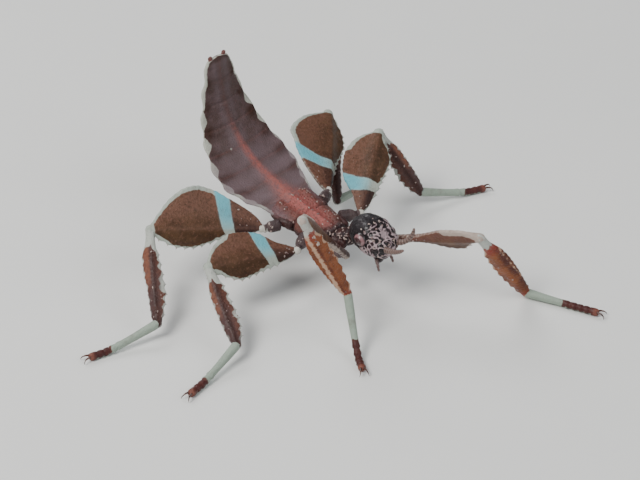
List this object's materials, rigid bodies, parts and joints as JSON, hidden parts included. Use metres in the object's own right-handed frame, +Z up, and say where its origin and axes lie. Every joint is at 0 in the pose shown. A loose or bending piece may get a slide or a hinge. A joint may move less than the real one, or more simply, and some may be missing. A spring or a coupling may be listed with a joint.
{
  "type": "leaf insect nymph",
  "caption": "Newly hatched leaf insect standing on lobed legs with its flat, leaf-shaped abdomen curled up behind; a still display model.",
  "frame": {"origin": "on the floor, at the middle of the box round the whole insect", "axes": "+Z up; the head points to -Y and the insect's left side is +X"},
  "size_m": [0.0244, 0.0204, 0.0093],
  "materials": {
    "abdomen_cuticle": "dark purplish brown with pale mint margins and a red midrib",
    "thorax_cuticle": "dark red brown, finely grained",
    "head_cuticle": "near black with glossy pale grains",
    "eye": "dull rose brown, glossy",
    "antenna_cuticle": "dark red brown",
    "coxa_cuticle": "greyish brown with a white outer end",
    "femur_cuticle": "reddish brown with a pale blue and white band and a white rim",
    "tibia_cuticle": "white at the base, then red brown with pale spots",
    "tarsus_cuticle": "mint white, dark red at the end"
  },
  "bodies": {
    "root": {"abdomen": "abdomen_cuticle", "metathorax": "thorax_cuticle", "mesothorax": "thorax_cuticle", "prothorax": "thorax_cuticle", "head": "head_cuticle", "mouthparts": "head_cuticle", "eye_left": "eye", "eye_right": "eye", "antenna_left": "antenna_cuticle", "antenna_right": "antenna_cuticle", "front_left_coxa": "coxa_cuticle", "front_left_femur": "femur_cuticle", "front_left_tibia": "tibia_cuticle", "front_left_tarsus": "tarsus_cuticle", "front_right_coxa": "coxa_cuticle", "front_right_femur": "femur_cuticle", "front_right_tibia": "tibia_cuticle", "front_right_tarsus": "tarsus_cuticle", "middle_left_coxa": "coxa_cuticle", "middle_left_femur": "femur_cuticle", "middle_left_tibia": "tibia_cuticle", "middle_left_tarsus": "tarsus_cuticle", "middle_right_coxa": "coxa_cuticle", "middle_right_femur": "femur_cuticle", "middle_right_tibia": "tibia_cuticle", "middle_right_tarsus": "tarsus_cuticle", "hind_left_coxa": "coxa_cuticle", "hind_left_femur": "femur_cuticle", "hind_left_tibia": "tibia_cuticle", "hind_left_tarsus": "tarsus_cuticle", "hind_right_coxa": "coxa_cuticle", "hind_right_femur": "femur_cuticle", "hind_right_tibia": "tibia_cuticle", "hind_right_tarsus": "tarsus_cuticle"}
  },
  "joints": []
}
